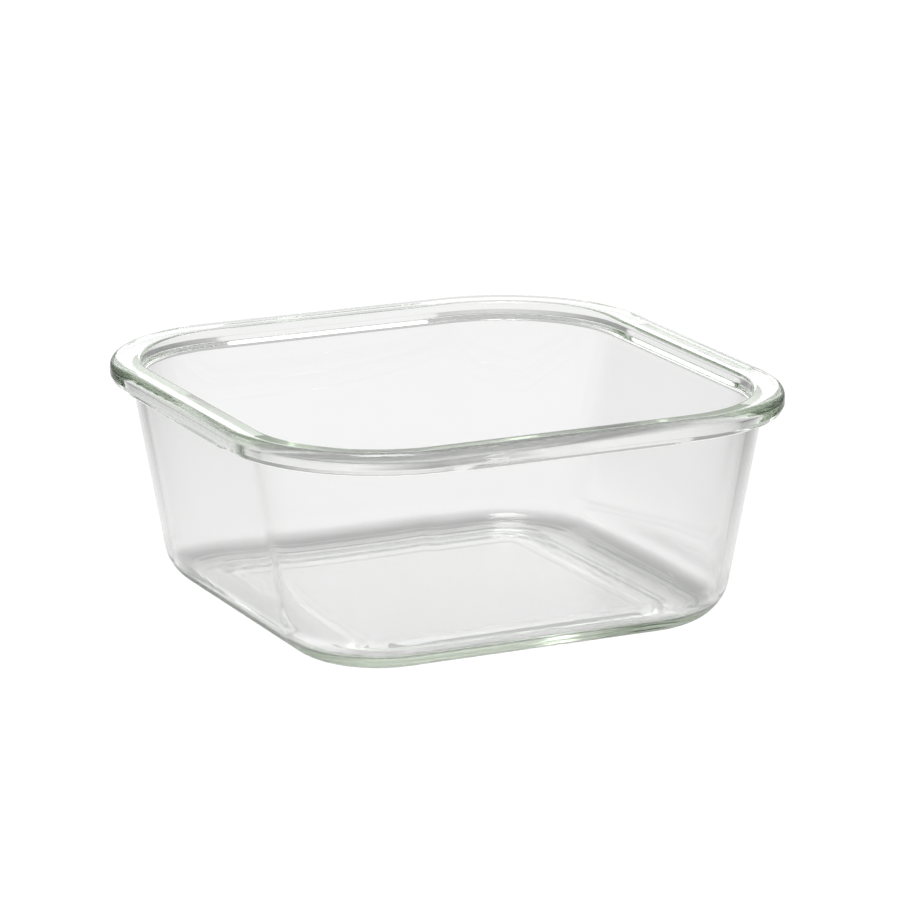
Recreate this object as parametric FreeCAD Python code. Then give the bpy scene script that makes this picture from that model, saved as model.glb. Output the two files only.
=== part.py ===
# Square glass storage dish with rounded corners, pressed in one piece.
#
# Millimetres. +Z is up, and the origin is on the plane that the foot rests on, under the middle of the dish.
# +X and +Y are square to the walls.
#
# The whole dish is one section, drawn once in the XZ plane as radius r and height z, and carried round
# a rectangle: pulled straight along each side and turned a quarter about each corner centre. Every line
# of the dish is therefore concentric at the corners. Four straight ledges, which a lid's clips would
# catch, are added under the rim.

import FreeCAD, Part
import math
import os

# ---- the whole dish ----
LENGTH = 149.0               # along X, over the rim
WIDTH = 149.0                # along Y, over the rim
HEIGHT = 60.5                # foot to the top of the rim
RIM_CORNER_RADIUS = 40.0     # the rim's outer corner, seen from above

# ---- rim bead ----
BEAD_OVERHANG = 5.45         # how far the bead stands out past the wall under it
BEAD_DEPTH = 5.8             # top of the rim down to the bead's underside
TOP_SLOPE = 6.0              # degrees that the top falls towards the mouth
SHOULDER_RADIUS = 2.4        # outer top edge
MOUTH_RADIUS = 1.2           # inner top edge
NOSE_DEPTH = 4.1             # top of the rim down to where the bead's face starts to lean in
NOSE_RADIUS = 0.6            # the bend where it does
LOWER_EDGE_DEPTH = 5.5       # top of the rim down to the bead's lower edge
LOWER_EDGE_INSET = 0.7       # that edge, in from the widest point
LOWER_EDGE_RADIUS = 0.45
ROOT_RADIUS = 0.8            # hollow corner between the wall and the bead's underside

# ---- walls ----
WALL_DRAFT = 10.2            # degrees off upright, outside
WALL_AT_MOUTH = 3.05         # level thickness just under the bead
MOUTH_DEPTH = 4.0            # top of the rim down to where the mouth's width is measured
WALL_AT_FOOT = 2.7           # thickness where the wall runs into the foot's round

# ---- floor and foot ----
FLOOR_THICKNESS = 3.5        # glass in the middle of the floor
FLOOR_RADIUS = 5.0           # inside, where the wall meets the floor
FOOT_RADIUS = 12.4           # outside, where the wall meets the foot
FOOT_RING = 2.9              # width of the flat ring that the dish stands on
PANEL_RECESS = 0.3           # how far the panel inside the ring is raised off the table
PANEL_BORDER = 4.0           # width of the soft step between the ring and the panel
PANEL_BLEND = 45.0           # radius at the top and bottom of that step, where there is room
BLEND_SHARE = 0.95           # the most of the surface beside it that either of those rounds may take

# ---- lid ledges, one centred under each side of the bead ----
LEDGE_END_GAP = 3.0          # from a ledge's end to the end of the straight side
LEDGE_TAPER = 3.5            # length over which each end is eased back
LEDGE_INSET = 0.1            # its upright face, in from the bead's widest point
LEDGE_HANG = 0.15            # how far it hangs below the bead's lower edge
LEDGE_END_INSET = 1.5        # its face at the very ends, in from the widest point

UP = FreeCAD.Vector(0, 0, 1)
ORIGIN = FreeCAD.Vector(0, 0, 0)

# ---- places worked out from the sizes: r from a corner centre, z from the table ----
core_x = LENGTH / 2 - RIM_CORNER_RADIUS
core_y = WIDTH / 2 - RIM_CORNER_RADIUS
nose_r = RIM_CORNER_RADIUS
bead_under_z = HEIGHT - BEAD_DEPTH
lower_edge_r = nose_r - LOWER_EDGE_INSET
lower_edge_z = HEIGHT - LOWER_EDGE_DEPTH
nose_z = HEIGHT - NOSE_DEPTH
mouth_z = HEIGHT - MOUTH_DEPTH
floor_z = PANEL_RECESS + FLOOR_THICKNESS

draft = math.radians(WALL_DRAFT)
wall_top_r = nose_r - BEAD_OVERHANG
mouth_r = wall_top_r - WALL_AT_MOUTH


def outer_wall_r(z):
    """Radius of the wall's outside at a height."""
    return wall_top_r - (bead_under_z - z) * math.tan(draft)


# The inside of the wall runs from the mouth to a point one wall in from the outside, level with
# the centre of the foot's round, so it follows the outside when the draft or the height changes.
inner_low_r = outer_wall_r(FOOT_RADIUS) - WALL_AT_FOOT / math.cos(draft)
inner_slope = (mouth_r - inner_low_r) / (mouth_z - FOOT_RADIUS)


def inner_wall_r(z):
    """Radius of the wall's inside at a height."""
    return mouth_r - (mouth_z - z) * inner_slope


foot_ring_outer_r = outer_wall_r(FOOT_RADIUS) - FOOT_RADIUS / math.cos(draft)
foot_ring_inner_r = foot_ring_outer_r - FOOT_RING
panel_r = foot_ring_inner_r - PANEL_BORDER

# The step's two rounds are limited by what lies beside them: half of the step itself, or the part of
# the panel between the step and the corner centre, which is small when the rim's corners are tight.
step_angle = math.atan(PANEL_RECESS / PANEL_BORDER)
blend_room = min(PANEL_BORDER / 2, panel_r) / math.tan(step_angle / 2)
panel_blend = min(PANEL_BLEND, BLEND_SHARE * blend_room)

# The top is a sloping line, set so that the shoulder's round just reaches the full height.
top_slope = math.tan(math.radians(TOP_SLOPE))
shoulder_z = HEIGHT - SHOULDER_RADIUS + SHOULDER_RADIUS / math.cos(math.radians(TOP_SLOPE))


def top_z(r):
    """Height of the sloping top, carried on past its shoulder."""
    return shoulder_z + (r - nose_r + SHOULDER_RADIUS) * top_slope


mouth_edge_z = mouth_z + (top_z(mouth_r) - mouth_z) / (1 - top_slope * inner_slope)


def point(r, z):
    """A point of the section."""
    return FreeCAD.Vector(r, 0, z)


def rounded_outline(corners):
    """Edges of a closed outline, given as (r, z, radius) corners that are each rounded by their radius."""
    spots = [point(r, z) for r, z, _ in corners]
    edges = []
    starts = []
    ends = []
    for k, (_, _, radius) in enumerate(corners):
        here = spots[k]
        if radius == 0:
            starts.append(here)
            ends.append(here)
            continue
        back = (spots[k - 1] - here).normalize()
        ahead = (spots[(k + 1) % len(spots)] - here).normalize()
        half_opening = back.getAngle(ahead) / 2
        reach = radius / math.tan(half_opening)
        inward = (back + ahead).normalize()
        starts.append(here + back * reach)
        ends.append(here + ahead * reach)
        middle = here + inward * (radius / math.sin(half_opening) - radius)
        edges.append(Part.Arc(starts[k], middle, ends[k]).toShape())
    for k in range(len(corners)):
        edges.append(Part.LineSegment(ends[k - 1], starts[k]).toShape())
    return edges


def make_section():
    """The glass between a corner centre and the rim, as one flat face."""
    outline = rounded_outline([
        (0, PANEL_RECESS, 0),
        (panel_r, PANEL_RECESS, panel_blend),
        (foot_ring_inner_r, 0, panel_blend),
        (outer_wall_r(0), 0, FOOT_RADIUS),
        (wall_top_r, bead_under_z, ROOT_RADIUS),
        (lower_edge_r, lower_edge_z, LOWER_EDGE_RADIUS),
        (nose_r, nose_z, NOSE_RADIUS),
        (nose_r, top_z(nose_r), SHOULDER_RADIUS),
        (inner_wall_r(mouth_edge_z), mouth_edge_z, MOUTH_RADIUS),
        (inner_wall_r(floor_z), floor_z, FLOOR_RADIUS),
        (0, floor_z, 0),
    ])
    return Part.Face(Part.Wire(Part.__sortEdges__(outline)))


def make_ledge(side_length):
    """A lid ledge for a side that faces +X, with r from the line of corner centres."""
    half = side_length / 2 - LEDGE_END_GAP
    low_z = lower_edge_z - LEDGE_HANG
    root_r = outer_wall_r(low_z) - WALL_AT_MOUTH / 2
    face_r = nose_r - LEDGE_INSET
    end_r = nose_r - LEDGE_END_INSET
    plan = [(root_r, -half), (end_r, -half), (face_r, -half + LEDGE_TAPER),
            (face_r, half - LEDGE_TAPER), (end_r, half), (root_r, half)]
    corners = [FreeCAD.Vector(r, y, low_z) for r, y in plan]
    face = Part.Face(Part.makePolygon(corners + corners[:1]))
    return face.extrude(UP * (nose_z + NOSE_RADIUS - low_z))


def make_dish():
    """The dish: a plain floor slab, with four sides, four corners and four ledges round it."""
    section = make_section()
    slab_corner = FreeCAD.Vector(-core_x, -core_y, PANEL_RECESS)
    slab = Part.makeBox(2 * core_x, 2 * core_y, FLOOR_THICKNESS, slab_corner)
    centres = [FreeCAD.Vector(x, y, 0) for x, y in
               ((core_x, core_y), (-core_x, core_y), (-core_x, -core_y), (core_x, -core_y))]
    pieces = []
    for side in range(4):
        turn = 90 * side
        start = centres[side - 1]
        end = centres[side]
        side_section = section.copy()
        side_section.rotate(ORIGIN, UP, turn)
        side_section.translate(start)
        pieces.append(side_section.extrude(end - start))
        side_section.translate(end - start)
        pieces.append(side_section.revolve(end, UP, 90))
        ledge = make_ledge((end - start).Length)
        ledge.rotate(ORIGIN, UP, turn)
        ledge.translate((start + end) / 2)
        pieces.append(ledge)
    return slab.fuse(pieces).removeSplitter()


os.makedirs("parts", exist_ok=True)
glass = make_dish()
solids = glass.Solids
print("solids", len(solids), "valid", glass.isValid(), "volume cm3", round(glass.Volume / 1000, 1))
box = glass.optimalBoundingBox(True, False)
print("box", [round(v, 3) for v in (box.XMin, box.YMin, box.ZMin, box.XMax, box.YMax, box.ZMax)])
solids[0].exportStep("parts/glass_dish.step")
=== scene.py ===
# %% [markdown]
# # A square glass storage dish, seen in a pale studio
# The real dish is one piece of glass. A gob of hot glass is dropped into a mould and a plunger presses it
# up the sides, so the floor, the walls, the rim and the little ledges for a lid's clips all come out
# together. We build it the same way, as one closed skin, and spend our care on two things: the exact
# section of the glass, because every bright or dark line in clear glass is made by its shape, and the
# studio, because glass shows nothing but its surroundings.
#
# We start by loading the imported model. It gives the size of the dish, so that nothing is guessed twice.

# %% load the frame
import math

import bmesh
import bpy
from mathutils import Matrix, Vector


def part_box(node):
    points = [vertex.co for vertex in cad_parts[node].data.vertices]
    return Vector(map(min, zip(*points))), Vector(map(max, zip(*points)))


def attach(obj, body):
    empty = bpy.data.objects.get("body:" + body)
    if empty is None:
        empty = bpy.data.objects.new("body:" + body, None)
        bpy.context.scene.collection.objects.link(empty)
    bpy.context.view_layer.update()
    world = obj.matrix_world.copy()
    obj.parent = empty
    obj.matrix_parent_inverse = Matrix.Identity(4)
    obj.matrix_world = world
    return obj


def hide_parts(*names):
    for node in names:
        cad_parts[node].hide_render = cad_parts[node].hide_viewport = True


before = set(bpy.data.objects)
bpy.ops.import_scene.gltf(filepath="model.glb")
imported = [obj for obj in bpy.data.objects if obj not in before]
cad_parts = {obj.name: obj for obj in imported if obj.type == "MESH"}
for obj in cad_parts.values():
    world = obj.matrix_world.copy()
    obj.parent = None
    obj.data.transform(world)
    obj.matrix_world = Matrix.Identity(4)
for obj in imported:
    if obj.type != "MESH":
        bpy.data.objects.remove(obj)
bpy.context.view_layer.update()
dish_low, dish_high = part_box("glass_dish")
print("dish box in metres", [round(v, 4) for v in (*dish_low, *dish_high)])

# %% [markdown]
# # The main sizes
# The dish is the same all the way round: a square with round corners. It is easiest to think of it as
# one section that is carried round the four corner centres. A place in the section has two numbers: how
# far it is out from the middle of the dish, measured square to a wall, and how high it is above the table.
# We take the width and the height from the frame, and write the rest in millimetres.

# %% main sizes
MM = 0.001

rim_out = dish_high[0]                     # the rim's widest point, out from the middle
rim_top = dish_high[2]                     # the highest point of the rim
foot = dish_low[2]                         # the plane that the dish stands on
corner_centre = rim_out - 40 * MM          # the rim's corner, seen from above, is a 40 mm round
print("corner centres", round(corner_centre / MM, 2), "mm out, rim", round(rim_top / MM, 2), "mm high")

# %% [markdown]
# # Walls with draft
# Pressed glass has to leave its mould and let the plunger out again, so both faces of a wall lean outwards.
# The outside leans a little more than the inside, which makes the wall thinner towards the foot. Two
# straight lines say all of this.

# %% the lines of the wall
bead_under = 54.7 * MM                     # where the wall meets the underside of the rim bead
wall_out_at_bead = rim_out - 5.45 * MM
outer_slope = math.tan(math.radians(10.2))
foot_round = 12.4 * MM                     # the big outside round between the wall and the foot
wall_at_mouth = 3.05 * MM                  # level thickness
wall_at_foot = 2.7 * MM
mouth_line = 56.5 * MM                     # the height where the mouth's width is measured


def wall_outside(z):
    """How far out the wall's outside is at a height."""
    return wall_out_at_bead - (bead_under - z) * outer_slope


mouth = wall_out_at_bead - wall_at_mouth
inside_low = wall_outside(foot_round) - wall_at_foot / math.cos(math.atan(outer_slope))
inner_slope = (mouth - inside_low) / (mouth_line - foot_round)


def wall_inside(z):
    """How far out the wall's inside is at a height."""
    return mouth - (mouth_line - z) * inner_slope


for level in (10, 30, 50):
    thick = wall_outside(level * MM) - wall_inside(level * MM)
    print("wall at", level, "mm high is", round(thick / MM, 2), "mm thick")

# %% [markdown]
# # The section as a list of corners
# A glass maker's drawing gives the sharp corners of a section and a radius at each. We write the same
# thing: every entry is how far out, how high, the radius that softens the corner, the steps in that round,
# and the steps in the straight run that follows it.
#
# The top of the rim slopes gently down into the mouth, so a spoon or a lid's seal slides in. Its outer
# shoulder is a tighter round. Below the widest point the bead leans in again, down to a small lower edge,
# where the mould parts. The foot is a flat ring with a slightly raised panel inside it, so that the dish
# stands on the ring and doesn't rock.

# %% rim, foot and floor corners
top_slope = math.tan(math.radians(6.0))
shoulder = 2.4 * MM
floor_top = 3.8 * MM
foot_flat = 2.9 * MM                       # width of the ring that touches the table
panel_lift = 0.3 * MM
panel_border = 4.0 * MM

shoulder_top = rim_top - shoulder + shoulder / math.cos(math.atan(top_slope))


def rim_surface(out):
    """Height of the rim's sloping top, carried on outwards past its shoulder."""
    return shoulder_top + (out - rim_out + shoulder) * top_slope


def mouth_edge():
    """Where the inside of the wall, carried on upwards, meets the sloping top."""
    rise = rim_surface(mouth) - mouth_line
    height = mouth_line + rise / (1 - top_slope * inner_slope)
    return wall_inside(height), height


foot_ring_out = wall_outside(foot_round) - foot_round / math.cos(math.atan(outer_slope))
foot_ring_in = foot_ring_out - foot_flat
lower_edge = (rim_out - 0.7 * MM, foot + 55.0 * MM)
nose_low = (rim_out, foot + 56.4 * MM)
ledge_out = rim_out - 0.1 * MM
ledge_low = foot + 54.85 * MM


def lean_height(out):
    """Height of the bead's leaning lower face at a distance out."""
    part = (out - lower_edge[0]) / (nose_low[0] - lower_edge[0])
    return lower_edge[1] + part * (nose_low[1] - lower_edge[1])


def section_corners(with_ledge):
    """The corners of the section, from the middle of the underside round to the middle of the floor."""
    lowest = (ledge_out, ledge_low, 0.2 * MM) if with_ledge else (*lower_edge, 0.45 * MM)
    return [
        (corner_centre, foot + panel_lift, 0, 1, 10),
        (foot_ring_in - panel_border, foot + panel_lift, 45 * MM, 7, 1),
        (foot_ring_in, foot, 45 * MM, 7, 5),
        (wall_outside(foot), foot, foot_round, 28, 40),
        (wall_outside(bead_under), bead_under, 0.8 * MM, 8, 9),
        (*lowest, 6, 4),
        (ledge_out, lean_height(ledge_out), 0.15 * MM, 3, 2),
        (*nose_low, 0.6 * MM, 8, 4),
        (rim_out, rim_surface(rim_out), shoulder, 24, 12),
        (*mouth_edge(), 1.2 * MM, 12, 44),
        (wall_inside(floor_top), floor_top, 5.0 * MM, 20, 70),
        (corner_centre, floor_top, 0, 1, 1),
    ]


print("section corners", len(section_corners(False)))

# %% [markdown]
# # Rounding the corners
# To round a corner, we walk back from it along both lines until a circle of the wanted radius just
# touches them, and follow the circle in between. The same small function softens every corner of the
# section, from the large foot round to the tiny edge under the bead.

# %% round a corner, then the whole section
NEARLY_STRAIGHT = 1e-4                     # radians; a corner flatter than this needs no round


def rounded_corner(before, here, after, radius, steps):
    """Points along the round at one corner, from the line before it to the line after it."""
    back = (before - here).normalized()
    ahead = (after - here).normalized()
    opening = back.angle(ahead)
    if math.pi - opening < NEARLY_STRAIGHT:
        return [here + back * radius / 2 + (ahead - back) * radius / 2 * k / steps for k in range(steps + 1)]
    centre = here + (back + ahead).normalized() * radius / math.sin(opening / 2)
    start = here + back * radius / math.tan(opening / 2) - centre
    end = here + ahead * radius / math.tan(opening / 2) - centre
    turn = start.angle(end)
    square_to_start = (end - start * math.cos(turn)) / math.sin(turn)
    angles = [turn * k / steps for k in range(steps + 1)]
    return [centre + start * math.cos(a) + square_to_start * math.sin(a) for a in angles]


def section_points(with_ledge):
    """The whole section as points, with straight runs filled in evenly."""
    corners = section_corners(with_ledge)
    spots = [Vector(corner[:2]) for corner in corners]
    points = []
    for k, (_, _, radius, steps, run_steps) in enumerate(corners):
        bend = [spots[k]]
        if 0 < k < len(corners) - 1:
            bend = rounded_corner(spots[k - 1], spots[k], spots[k + 1], radius, steps)
        if points:
            start = points[-1]
            points += [start.lerp(bend[0], j / last_run) for j in range(1, last_run)]
        points += bend
        last_run = run_steps
    return points


plain_section = section_points(False)
ledge_section = section_points(True)
print("points in the plain and the ledge section", len(plain_section), len(ledge_section))

# %% [markdown]
# # Ripples left by the plunger
# Hot glass chills as it touches the plunger, and the floor of a pressed dish keeps faint ripples that run
# round it like rings in water. They are less than a tenth of a millimetre high, but light that skims
# the floor shows them clearly. We add them to the floor's own points, and let them die out on both sides.

# %% floor ripples
ripple_height = 0.06 * MM
ripple_length = 6.0 * MM
ripple_from = corner_centre + 1.5 * MM
ripple_to = wall_inside(floor_top) - 4.5 * MM


def ease(t):
    """A smooth step from 0 to 1."""
    t = min(max(t, 0.0), 1.0)
    return t * t * (3 - 2 * t)


def ripple(out):
    """Extra height of the floor at a distance out."""
    fade = ease((out - ripple_from) / (3 * MM)) * ease((ripple_to - out) / (3 * MM))
    return ripple_height * fade * math.sin(math.tau * (ripple_to - out) / ripple_length)


def rippled(points):
    """The same section, with ripples on the top of its floor."""
    return [Vector((p.x, p.y + ripple(p.x))) if abs(p.y - floor_top) < 1e-7 else p for p in points]


plain_section = rippled(plain_section)
ledge_section = rippled(ledge_section)
print("ripples from", round(ripple_from / MM, 1), "to", round(ripple_to / MM, 1), "mm out")

# %% [markdown]
# # Carrying the section round the dish
# Seen from above, each point of the section draws a square with round corners. We list the places round
# that path as a corner centre and an outward direction. Along a side the centre slides and the direction
# stays; at a corner the centre stays and the direction turns a quarter. The curved corners bend light the
# most, so they get the closest steps.

# %% the path round the dish
SIDE_STEPS = 40
CORNER_STEPS = 26


def path_round():
    """Places round the dish: a centre, an outward direction, and the place along the side or None."""
    places = []
    for side in range(4):
        outward = Vector((math.cos(side * math.pi / 2), math.sin(side * math.pi / 2), 0))
        along = Vector((-outward.y, outward.x, 0))
        for k in range(SIDE_STEPS):
            place = corner_centre * (2 * k / SIDE_STEPS - 1)
            places.append((outward * corner_centre + along * place, outward, place))
        for k in range(CORNER_STEPS):
            turn = math.pi / 2 * k / CORNER_STEPS
            direction = outward * math.cos(turn) + along * math.sin(turn)
            places.append(((outward + along) * corner_centre, direction, None))
    return places


path = path_round()
print("places round the dish", len(path))

# %% [markdown]
# # Ledges for the lid's clips
# Under the bead, the middle of each side has a straight ledge that a clip would catch. It fills the
# leaning lower face of the bead out to an upright one. In the mould its ends are eased off, so we blend
# from the plain section to the ledge section over a few millimetres.

# %% blend the ledges in
ledge_half = corner_centre - 3.0 * MM
ledge_taper = 3.5 * MM


def section_at(place):
    """The section at a place along a side, or at a corner when place is None."""
    share = 0.0 if place is None else ease((ledge_half - abs(place)) / ledge_taper)
    return [plain.lerp(ledge, share) for plain, ledge in zip(plain_section, ledge_section)]


print("each ledge is", round(2 * ledge_half / MM, 1), "mm long")

# %% [markdown]
# # The skin of the dish
# Now the points become one closed skin: a strip of faces between each place and the next, and a flat grid
# for the middle of the floor on top and underneath, inside the four corner centres. A grid is better
# there than one big face, because smooth shading needs small, even faces next to the curved ones.

# %% skin the dish
def add_middle(skin, z):
    """A flat grid between the four corner centres, at one height, with points in step with the sides."""
    ticks = [corner_centre * (2 * k / SIDE_STEPS - 1) for k in range(SIDE_STEPS + 1)]
    grid = [[skin.verts.new((x, y, z)) for y in ticks] for x in ticks]
    for low, high in zip(grid, grid[1:]):
        for a, b, c, d in zip(low, high, high[1:], low[1:]):
            skin.faces.new((a, b, c, d))


def skin_dish():
    """The whole dish as one mesh."""
    skin = bmesh.new()
    rings = []
    for centre, direction, place in path:
        spots = [centre + direction * (p.x - corner_centre) + Vector((0, 0, p.y)) for p in section_at(place)]
        rings.append([skin.verts.new(spot) for spot in spots])
    for ring, following in zip(rings, rings[1:] + rings[:1]):
        for a, b, c, d in zip(ring, following, following[1:], ring[1:]):
            skin.faces.new((a, b, c, d))
    add_middle(skin, plain_section[0].y)
    add_middle(skin, plain_section[-1].y)
    bmesh.ops.remove_doubles(skin, verts=skin.verts, dist=0.002 * MM)
    bmesh.ops.recalc_face_normals(skin, faces=skin.faces)
    for face in skin.faces:
        face.smooth = True
    return skin


skin = skin_dish()
open_edges = sum(not edge.is_manifold for edge in skin.edges)
print("faces", len(skin.faces), "open edges", open_edges, "glass cm3", round(skin.calc_volume() * 1e6, 1))

dish_mesh = bpy.data.meshes.new("pressed_glass_dish")
skin.to_mesh(dish_mesh)
skin.free()
dish = bpy.data.objects.new("pressed_glass_dish", dish_mesh)
bpy.context.scene.collection.objects.link(dish)

# %% [markdown]
# # Clear glass with a green depth
# Ordinary clear glass holds a trace of iron. Through a thin wall it looks colourless, but where we look
# a long way through it, along the rim and into the foot, it turns green. So the surface of the material is
# colourless, and the colour sits inside, as a volume that absorbs a little red and blue on the way.
#
# A pressed surface isn't as true as a polished one. We bend its normals very slightly with two soft
# noises: broad waves from the glass moving as it cooled, and finer mould marks on the outside of the bead.

# %% a mask for the outside of the bead
def new_node(tree, kind, **values):
    """A node with some of its settings and inputs filled in."""
    node = tree.nodes.new(kind)
    for name, value in values.items():
        if hasattr(node, name):
            setattr(node, name, value)
        else:
            node.inputs[name.replace("_", " ")].default_value = value
    return node


def bead_mask(tree, place):
    """A value that is 1 at the lower part of the bead and 0 above and below it."""
    split = tree.nodes.new("ShaderNodeSeparateXYZ")
    tree.links.new(place, split.inputs["Vector"])
    band = new_node(tree, "ShaderNodeMapRange", interpolation_type="SMOOTHSTEP")
    band.inputs["From Min"].default_value = bead_under - 0.6 * MM
    band.inputs["From Max"].default_value = bead_under
    tree.links.new(split.outputs["Z"], band.inputs["Value"])
    fall = new_node(tree, "ShaderNodeMapRange", interpolation_type="SMOOTHSTEP")
    fall.inputs["From Min"].default_value = nose_low[1] + 1.0 * MM
    fall.inputs["From Max"].default_value = nose_low[1]
    tree.links.new(split.outputs["Z"], fall.inputs["Value"])
    both = new_node(tree, "ShaderNodeMath", operation="MULTIPLY")
    tree.links.new(band.outputs["Result"], both.inputs[0])
    tree.links.new(fall.outputs["Result"], both.inputs[1])
    return both.outputs["Value"]


# %% the glass
def make_clear_glass():
    """Clear pressed glass: colourless surface, green volume, gently uneven normals."""
    material = bpy.data.materials.new("clear_pressed_glass")
    material.use_nodes = True
    tree = material.node_tree
    tree.nodes.clear()
    output = tree.nodes.new("ShaderNodeOutputMaterial")
    surface = tree.nodes.new("ShaderNodeBsdfPrincipled")
    surface.inputs["Base Color"].default_value = (1, 1, 1, 1)
    surface.inputs["Roughness"].default_value = 0.0
    surface.inputs["IOR"].default_value = 1.48
    surface.inputs["Transmission Weight"].default_value = 1.0
    tree.links.new(surface.outputs["BSDF"], output.inputs["Surface"])

    inside = tree.nodes.new("ShaderNodeVolumeAbsorption")
    inside.inputs["Color"].default_value = (0.84, 0.90, 0.81, 1)
    inside.inputs["Density"].default_value = 12.0
    tree.links.new(inside.outputs["Volume"], output.inputs["Volume"])

    place = tree.nodes.new("ShaderNodeTexCoord").outputs["Object"]
    waves = new_node(tree, "ShaderNodeTexNoise", Scale=38.0, Detail=1.0, Roughness=0.4)
    marks = new_node(tree, "ShaderNodeTexNoise", Scale=420.0, Detail=2.0, Roughness=0.55)
    for noise in (waves, marks):
        tree.links.new(place, noise.inputs["Vector"])
    cooled = new_node(tree, "ShaderNodeBump", Strength=1.0, Distance=0.02 * MM)
    tree.links.new(waves.outputs["Fac"], cooled.inputs["Height"])
    masked = new_node(tree, "ShaderNodeMath", operation="MULTIPLY")
    tree.links.new(marks.outputs["Fac"], masked.inputs[0])
    tree.links.new(bead_mask(tree, place), masked.inputs[1])
    moulded = new_node(tree, "ShaderNodeBump", Strength=1.0, Distance=0.01 * MM)
    tree.links.new(masked.outputs["Value"], moulded.inputs["Height"])
    tree.links.new(cooled.outputs["Normal"], moulded.inputs["Normal"])
    tree.links.new(moulded.outputs["Normal"], surface.inputs["Normal"])
    return material


clear_glass = make_clear_glass()
dish.data.materials.append(clear_glass)
print("glass nodes", len(clear_glass.node_tree.nodes))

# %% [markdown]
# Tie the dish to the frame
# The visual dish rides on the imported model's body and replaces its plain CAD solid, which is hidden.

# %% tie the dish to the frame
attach(dish, "root")
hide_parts("glass_dish")
print(dish.name, "stands for the packed glass dish")

# %% [markdown]
# A pale table with a painted pool of light and painted contact shade
# The table is a plain pale sheet. To the camera it is clean white, like a studio table lit from below.
# To the light inside the glass it is ordinary pale paper that catches the dish's soft shadow. On top of
# that, a pool of light is painted into the paper's colour: painted bright in an oval behind the dish, and
# painted darker out to its edge, as paper is at the edge of a set. The walls look through at the bright
# middle of the painted pool, and the curved edges of the dish bend to its painted dark outside, which is
# what draws them. Without something dark around it, clear glass would have no outline.
#
# Little light creeps in under the round of the foot, so the paper is darker in a ring there, and a touch
# darker under the floor. That ring is the grey band that we see through the walls just above the floor.
# Our soft lights fill it more than a real set does, so we deepen it in the paper's own brightness: down
# from the floor to the foot, and slowly back up outside. This part is painted, not simulated.

# %% table
VIEW_TURN = math.radians(-25.67)           # the set is laid out square to this direction
TABLE_WIDTH = 6.0
TABLE_GAP = 0.3 * MM                       # keeps the paper's face clear of the foot's

# How far out from the square of corner centres the painted shade reaches.
SHADE_STARTS = 8 * MM                      # under the panel, where it begins to deepen
DEEPEST_FROM = 13 * MM                     # under the foot ring
DEEPEST_TO = 18 * MM                       # under the foot's outside round
SHADE_ENDS = 36 * MM                       # out on the open table


def add_sheet(name, width, centre, material):
    """A flat square sheet that faces up, turned square to the set."""
    half = width / 2
    mesh = bpy.data.meshes.new(name)
    corners = [(-half, -half, 0), (half, -half, 0), (half, half, 0), (-half, half, 0)]
    mesh.from_pydata(corners, [], [(0, 1, 2, 3)])
    sheet = bpy.data.objects.new(name, mesh)
    sheet.location = centre
    sheet.rotation_euler = (0, 0, VIEW_TURN)
    mesh.materials.append(material)
    bpy.context.scene.collection.objects.link(sheet)
    return sheet


def painted_pool_of_light(tree, middle, half_sizes, inner_part, bright, dark):
    """A painted pool of light, even over the inside of an oval on the table and falling off to its edge."""
    oval = new_node(tree, "ShaderNodeMapping", vector_type="TEXTURE", Location=middle, Scale=half_sizes)
    reach = new_node(tree, "ShaderNodeVectorMath", operation="LENGTH")
    fall = new_node(tree, "ShaderNodeMapRange", interpolation_type="SMOOTHSTEP")
    ends = {"From Min": inner_part, "From Max": 1.0, "To Min": bright, "To Max": dark}
    for name, value in ends.items():
        fall.inputs[name].default_value = value
    place = tree.nodes.new("ShaderNodeTexCoord").outputs["Object"]
    tree.links.new(place, oval.inputs["Vector"])
    tree.links.new(oval.outputs["Vector"], reach.inputs[0])
    tree.links.new(reach.outputs["Value"], fall.inputs["Value"])
    return fall.outputs["Result"]


def painted_contact_shade(tree, under_floor, under_foot):
    """A painted shadow factor on the table's brightness: below 1 under the dish, and lowest round its foot.
    """
    place = tree.nodes.new("ShaderNodeNewGeometry").outputs["Position"]
    mirrored = new_node(tree, "ShaderNodeVectorMath", operation="ABSOLUTE")
    beyond = new_node(tree, "ShaderNodeVectorMath", operation="SUBTRACT")
    beyond.inputs[1].default_value = (corner_centre, corner_centre, 1)
    outside = new_node(tree, "ShaderNodeVectorMath", operation="MAXIMUM")
    outside.inputs[1].default_value = (0, 0, 0)
    reach = new_node(tree, "ShaderNodeVectorMath", operation="LENGTH")
    tree.links.new(place, mirrored.inputs[0])
    tree.links.new(mirrored.outputs["Vector"], beyond.inputs[0])
    tree.links.new(beyond.outputs["Vector"], outside.inputs[0])
    tree.links.new(outside.outputs["Vector"], reach.inputs[0])
    darken = new_node(tree, "ShaderNodeMapRange", interpolation_type="SMOOTHSTEP")
    lighten = new_node(tree, "ShaderNodeMapRange", interpolation_type="SMOOTHSTEP")
    steps = [(darken, (SHADE_STARTS, DEEPEST_FROM, under_floor, under_foot)),
             (lighten, (DEEPEST_TO, SHADE_ENDS, 1, 1 / under_foot))]
    both = new_node(tree, "ShaderNodeMath", operation="MULTIPLY")
    for k, (step, ends) in enumerate(steps):
        for name, value in zip(("From Min", "From Max", "To Min", "To Max"), ends):
            step.inputs[name].default_value = value
        tree.links.new(reach.outputs["Value"], step.inputs["Value"])
        tree.links.new(step.outputs["Result"], both.inputs[k])
    return both.outputs["Value"]


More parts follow.
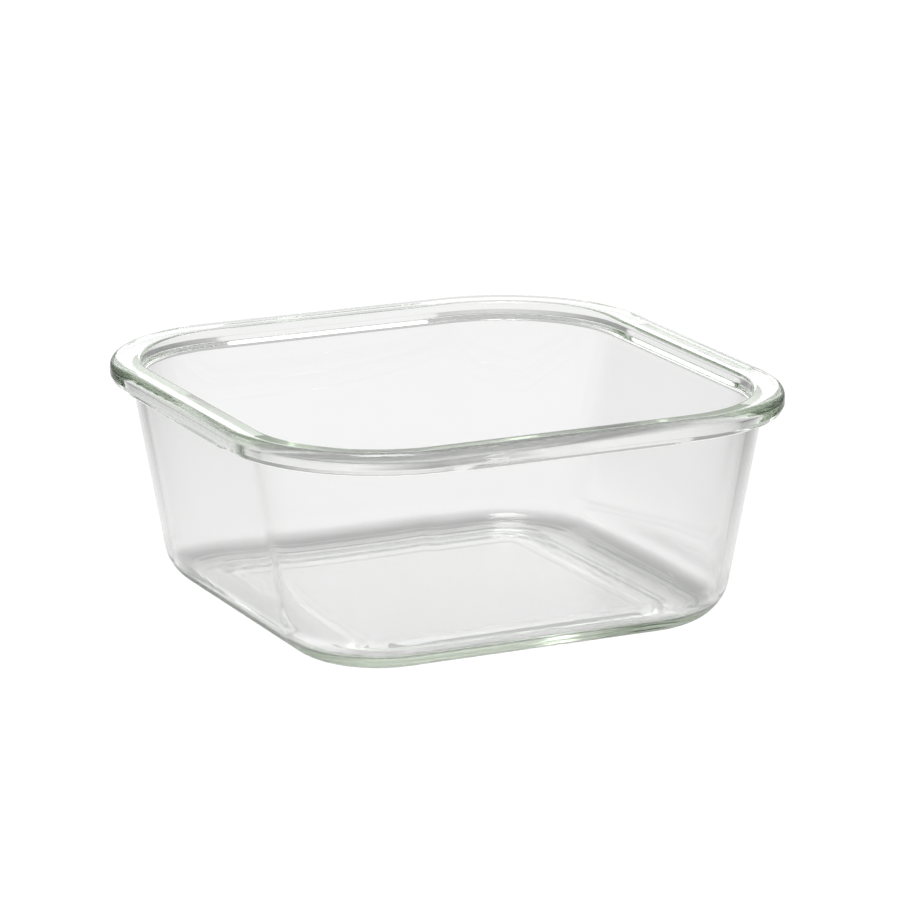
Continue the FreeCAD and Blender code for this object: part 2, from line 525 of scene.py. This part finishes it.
def make_table_with_painted_light():
    """Pale matt paper that the camera sees as clean white, with painted light and shade in its colour."""
    material = bpy.data.materials.new("pale_table")
    material.use_nodes = True
    tree = material.node_tree
    paper = tree.nodes["Principled BSDF"]
    # The paper's colour holds a painted pool of light: bright behind the dish, darker out to the sides.
    pool = painted_pool_of_light(tree, (0, 0.30, 0), (0.25, 0.9, 1), 0.28, 0.87, 0.22)
    shaded = new_node(tree, "ShaderNodeMath", operation="MULTIPLY")
    tree.links.new(pool, shaded.inputs[0])
    # The pool is multiplied by a painted contact shadow, darkest round the foot.
    tree.links.new(painted_contact_shade(tree, 0.72, 0.57), shaded.inputs[1])
    tree.links.new(shaded.outputs["Value"], paper.inputs["Base Color"])
    paper.inputs["Roughness"].default_value = 0.6
    seen = new_node(tree, "ShaderNodeEmission", Strength=1.05)
    light_path = tree.nodes.new("ShaderNodeLightPath")
    choose = tree.nodes.new("ShaderNodeMixShader")
    tree.links.new(light_path.outputs["Is Camera Ray"], choose.inputs["Fac"])
    tree.links.new(paper.outputs["BSDF"], choose.inputs[1])
    tree.links.new(seen.outputs["Emission"], choose.inputs[2])
    tree.links.new(choose.outputs["Shader"], tree.nodes["Material Output"].inputs["Surface"])
    return material


# The table's paper carries the painted pool of light and the painted contact shadow.
table = add_sheet("pale_table", TABLE_WIDTH, (0, 0, foot - TABLE_GAP), make_table_with_painted_light())
print("table", TABLE_WIDTH, "m wide, shade deepest", DEEPEST_FROM / MM, "to", DEEPEST_TO / MM, "mm out")

# %% [markdown]
# # Light for glass
# One softbox hangs straight above and makes a compact soft shadow round the dish. A wide, low one stands
# far behind. We see it only as a reflection: the floor of the dish mirrors it at a shallow angle and glows,
# and its ripples shine. The walls mirror the dim room under it and stay a light grey.

# %% softboxes and room
def add_softbox(name, size, place, brightness):
    """A flat area light that points at the middle of the dish; brightness is that of its face."""
    lamp = bpy.data.lights.new(name, "AREA")
    lamp.shape = "RECTANGLE"
    lamp.size, lamp.size_y = size
    lamp.energy = brightness * math.pi * size[0] * size[1]
    box = bpy.data.objects.new(name, lamp)
    box.location = place
    box.rotation_euler = Vector(place).to_track_quat("Z", "Y").to_euler()
    box.visible_camera = False
    bpy.context.scene.collection.objects.link(box)
    return box


behind = Vector((-math.sin(VIEW_TURN), math.cos(VIEW_TURN), 0))
add_softbox("overhead_softbox", (0.5, 0.5), (0, 0, 1.3), 10.0)
add_softbox("rear_softbox", (2.6, 1.0), behind * 2.2 + Vector((0, 0, 0.86)), 1.1)

room = bpy.data.worlds.new("dim_room")
room.use_nodes = True
room.node_tree.nodes["Background"].inputs["Color"].default_value = (1, 1, 1, 1)
room.node_tree.nodes["Background"].inputs["Strength"].default_value = 0.58
bpy.context.scene.world = room
print("lamps", len(bpy.data.lights), "room", room.name)

# %% [markdown]
# # Camera and light paths
# A long lens from a little above keeps the square looking square. Light crosses many surfaces inside the
# rim and the foot before it comes out again, so we allow it many bounces: with too few, thick glass
# turns black.

# %% camera
CAMERA_RISE = math.radians(14.74)          # above level
CAMERA_DISTANCE = 1.283
LENS_LENGTH = 200.45                       # millimetres, on a sensor 36 mm wide
AIM_HEIGHT = 39.1 * MM
AIM_ACROSS = 1.7 * MM                      # to the right of the middle of the dish


def add_camera():
    """A long-lens camera a little above the dish, turned towards its near left corner."""
    away = -behind * math.cos(CAMERA_RISE) + Vector((0, 0, math.sin(CAMERA_RISE)))
    across = Vector((math.cos(VIEW_TURN), math.sin(VIEW_TURN), 0))
    lens = bpy.data.cameras.new("studio_camera")
    lens.sensor_width = 36
    lens.lens = LENS_LENGTH
    camera = bpy.data.objects.new("studio_camera", lens)
    aim = Vector((0, 0, AIM_HEIGHT)) + across * AIM_ACROSS
    camera.location = aim + away * CAMERA_DISTANCE
    camera.rotation_euler = away.to_track_quat("Z", "Y").to_euler()
    bpy.context.scene.collection.objects.link(camera)
    return camera


scene = bpy.context.scene
scene.camera = add_camera()
print("camera at", [round(v, 3) for v in scene.camera.location])

# %% light paths and tone
GLASS_BOUNCES = 80
scene.cycles.max_bounces = GLASS_BOUNCES
scene.cycles.transmission_bounces = GLASS_BOUNCES
scene.cycles.glossy_bounces = GLASS_BOUNCES
scene.cycles.diffuse_bounces = 4
scene.view_settings.view_transform = "Standard"
scene.view_settings.look = "None"
print("bounces allowed in the glass", GLASS_BOUNCES)
